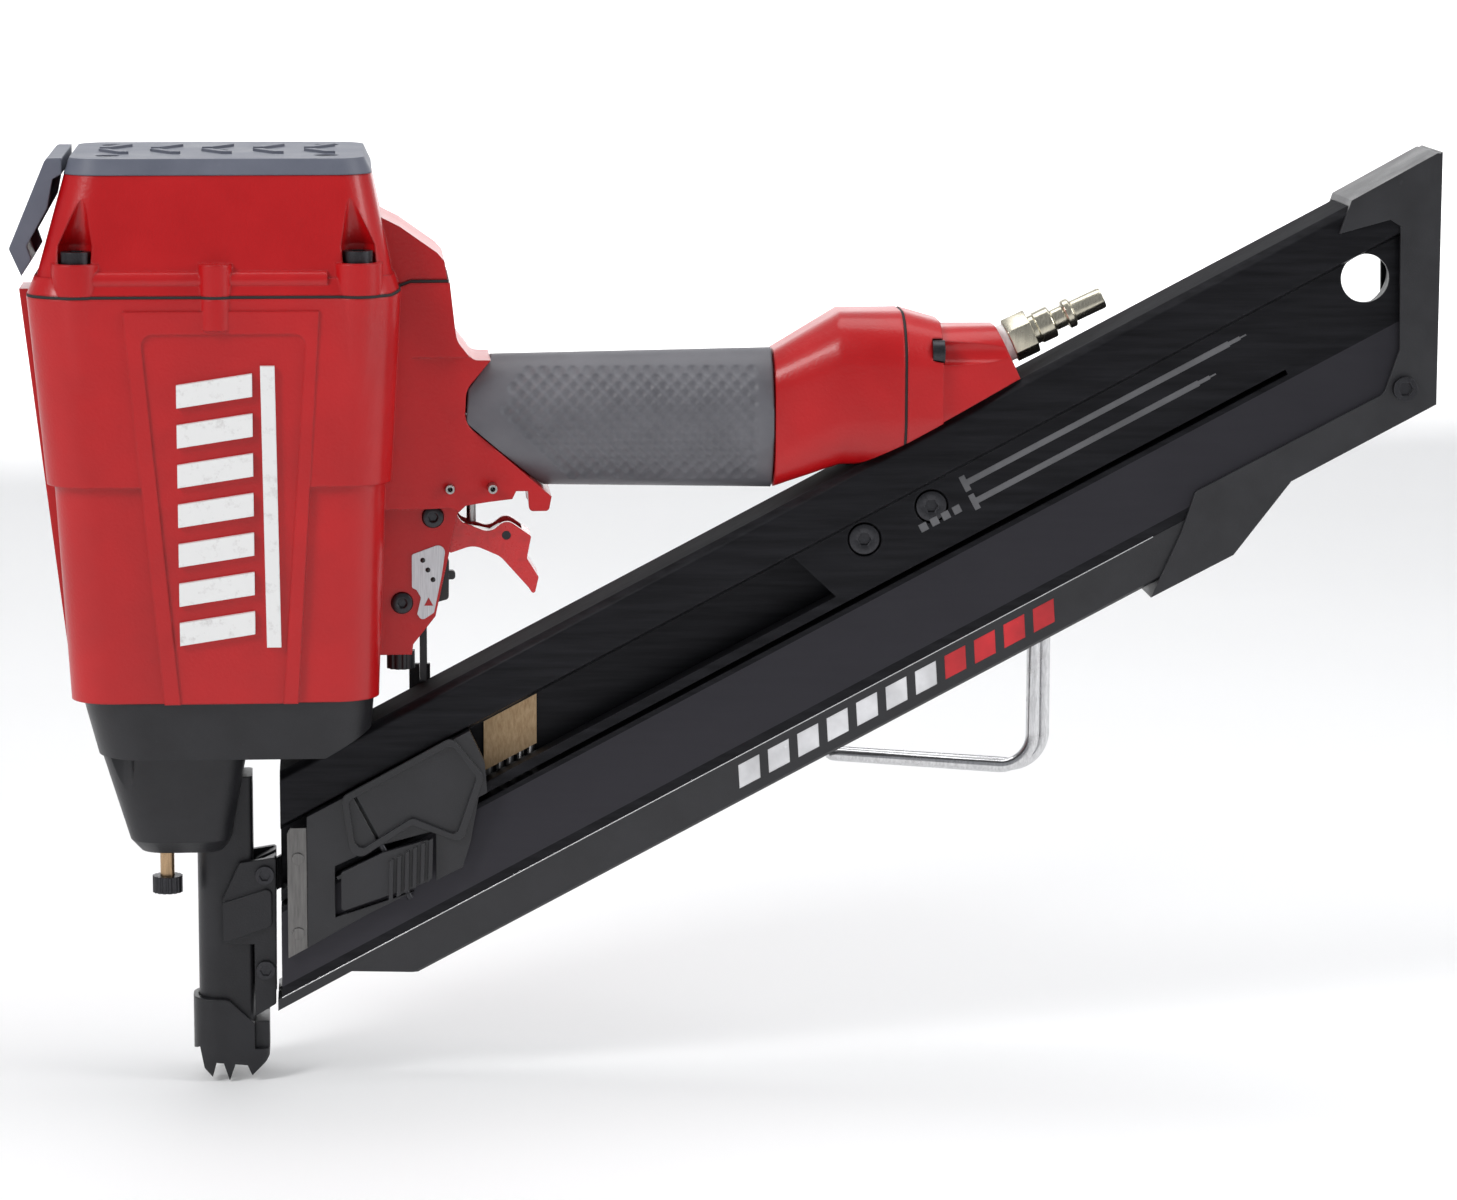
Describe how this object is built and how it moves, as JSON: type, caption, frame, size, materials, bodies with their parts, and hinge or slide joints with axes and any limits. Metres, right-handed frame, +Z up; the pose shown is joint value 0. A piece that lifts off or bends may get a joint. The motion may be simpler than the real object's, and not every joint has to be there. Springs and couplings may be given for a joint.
{
  "type": "pneumatic nail gun",
  "caption": "Pneumatic framing nailer: tall cast head, rubber-grip handle, slanted stick magazine with pusher, toothed contact nose, trigger, air plug and swing-out hook.",
  "frame": {"origin": "centre of the muzzle, at the lower end of the nosepiece's drive bore", "axes": "+Z up the drive axis, +X towards the handle's end and the magazine's rear, -Y is the flank with the magazine's window"},
  "size_m": [0.507, 0.1088, 0.3365],
  "materials": {
    "red_casting": "fine orange-peel powder coat",
    "black_gasket": "matt",
    "grey_cap": "satin moulded",
    "grip_rubber": "soft satin rubber with round studs",
    "bumper_rubber": "matt",
    "black_cast": "satin black coating",
    "black_anodised": "satin black anodised",
    "black_plastic": "satin moulded",
    "black_screw": "black oxide",
    "bare_steel": "machined",
    "piston_alloy": "machined",
    "bright_wire": "bright plated",
    "hook_alloy": "black anodised",
    "plug_steel": "zinc plated, turned",
    "copper_steel": "yellow passivated thread",
    "white_tape": "thread tape",
    "kraft_paper": "tan kraft paper",
    "red_trigger": "gloss powder coat",
    "silver_label": "printed foil",
    "white_badge": "satin white raised bars"
  },
  "bodies": {
    "tool": {"housing": "red_casting", "head_gasket": "black_gasket", "head_cap": "red_casting", "head_cap_bolts": "black_screw", "exhaust_cap": "grey_cap", "exhaust_deflector": "grey_cap", "exhaust_cap_screws": "black_screw", "cylinder_sleeve": "bare_steel", "bumper": "bumper_rubber", "grip_sleeve": "grip_rubber", "end_cap": "red_casting", "end_cap_gasket": "black_gasket", "end_cap_screws": "black_screw", "air_plug": "plug_steel", "thread_seal_tape": "white_tape", "nose_base": "black_cast", "nose_base_bolts": "black_screw", "nosepiece": "black_cast", "nose_plates": "black_cast", "nose_plate_screws": "black_screw", "magazine_body": "black_anodised", "magazine_lower_cover": "black_plastic", "magazine_rear_cap": "black_plastic", "rear_cap_screw": "black_screw", "magazine_bolts": "black_screw", "magazine_bracket": "bare_steel", "bracket_bolts": "black_screw", "nails": "bare_steel", "paper_tape": "kraft_paper", "trigger_pin": "black_screw", "selector_pin": "black_screw", "roll_pins": "bare_steel", "trigger_valve": "black_plastic", "valve_spring": "bare_steel", "trigger_label": "silver_label", "side_badge": "white_badge", "hook_bracket": "hook_alloy", "stop_screw": "copper_steel", "depth_wheel_stem": "black_screw", "head_valve_spring": "bare_steel", "contact_spring": "bare_steel"},
    "piston_assembly": {"piston": "piston_alloy", "piston_o_ring": "black_gasket", "driver_blade": "bare_steel"},
    "head_valve_ring": {"head_valve": "black_plastic"},
    "contact_element": {"contact_foot": "black_cast", "contact_link": "black_cast"},
    "follower": {"pusher_body": "black_plastic", "pusher_plate": "bare_steel", "pusher_rivets": "bare_steel", "release_pin": "black_screw"},
    "release_rocker": {"feed_release": "black_plastic"},
    "trigger_assembly": {"trigger": "red_trigger", "lever_pin": "black_screw"},
    "lever": {"trigger_lever": "bare_steel"},
    "selector": {"trigger_selector": "black_plastic"},
    "stem": {"valve_stem": "bare_steel"},
    "hook": {"rafter_hook": "bright_wire"},
    "wheel": {"depth_wheel": "black_plastic"},
    "adjuster_nut": {"stop_nut": "black_screw"}
  },
  "joints": [
    {"name": "piston_stroke", "type": "slide", "parent": "tool", "child": "piston_assembly", "axis": [0, 0, -1], "range_m": [0, 0.0985]},
    {"name": "head_valve_lift", "type": "slide", "parent": "tool", "child": "head_valve_ring", "axis": [0, 0, 1], "range_m": [0, 0.005], "stiffness_N_per_m": 2500, "springref_m": -0.002, "deforming": ["head_valve_spring"]},
    {"name": "contact_press", "type": "slide", "parent": "tool", "child": "contact_element", "axis": [0, 0, 1], "range_m": [0, 0.012], "stiffness_N_per_m": 500, "springref_m": -0.008, "deforming": ["contact_spring"]},
    {"name": "follower_slide", "type": "slide", "parent": "tool", "child": "follower", "axis": [0.885, 0, 0.4656], "range_m": [0, 0.3], "stiffness_N_per_m": 14, "springref_m": -0.35},
    {"name": "release_press", "type": "hinge", "parent": "follower", "child": "release_rocker", "pos_m": [0.06042, -0.0177, 0.06343], "axis": [-0.4656, 0, 0.885], "range_deg": [0, 6.5], "stiffness_Nm_per_rad": 0.3, "springref_deg": -1.15},
    {"name": "trigger_squeeze", "type": "hinge", "parent": "tool", "child": "trigger_assembly", "pos_m": [0.0744, 0, 0.192], "axis": [0, -1, 0], "range_deg": [0, 8], "stiffness_Nm_per_rad": 2, "springref_deg": -6.88},
    {"name": "lever_tilt", "type": "hinge", "parent": "trigger_assembly", "child": "lever", "pos_m": [0.1007, 0, 0.1844], "axis": [0, -1, 0], "range_deg": [0, 6], "stiffness_Nm_per_rad": 0.08, "springref_deg": -2.86},
    {"name": "valve_stem_lift", "type": "slide", "parent": "tool", "child": "stem", "axis": [0, 0, 1], "range_m": [0, 0.003], "deforming": ["valve_spring"]},
    {"name": "selector_turn", "type": "hinge", "parent": "tool", "child": "selector", "pos_m": [0.0632, 0, 0.1611], "axis": [0, -1, 0], "range_deg": [-8, 0]},
    {"name": "hook_swing", "type": "hinge", "parent": "tool", "child": "hook", "pos_m": [0.298, 0.0266, 0.176], "axis": [0, 0, -1], "range_deg": [0, 90]},
    {"name": "depth_wheel_turn", "type": "hinge", "parent": "tool", "child": "wheel", "pos_m": [0.0628, 0, 0.138], "axis": [0, 0, 1], "continuous": true},
    {"name": "stop_nut_turn", "type": "hinge", "parent": "tool", "child": "adjuster_nut", "pos_m": [-0.0218, -0.005, 0.058], "axis": [0, 0, 1], "continuous": true}
  ],
  "couplings": [
    {"joint": "valve_stem_lift", "follows": "trigger_squeeze", "m_per_rad": 0.014}
  ]
}
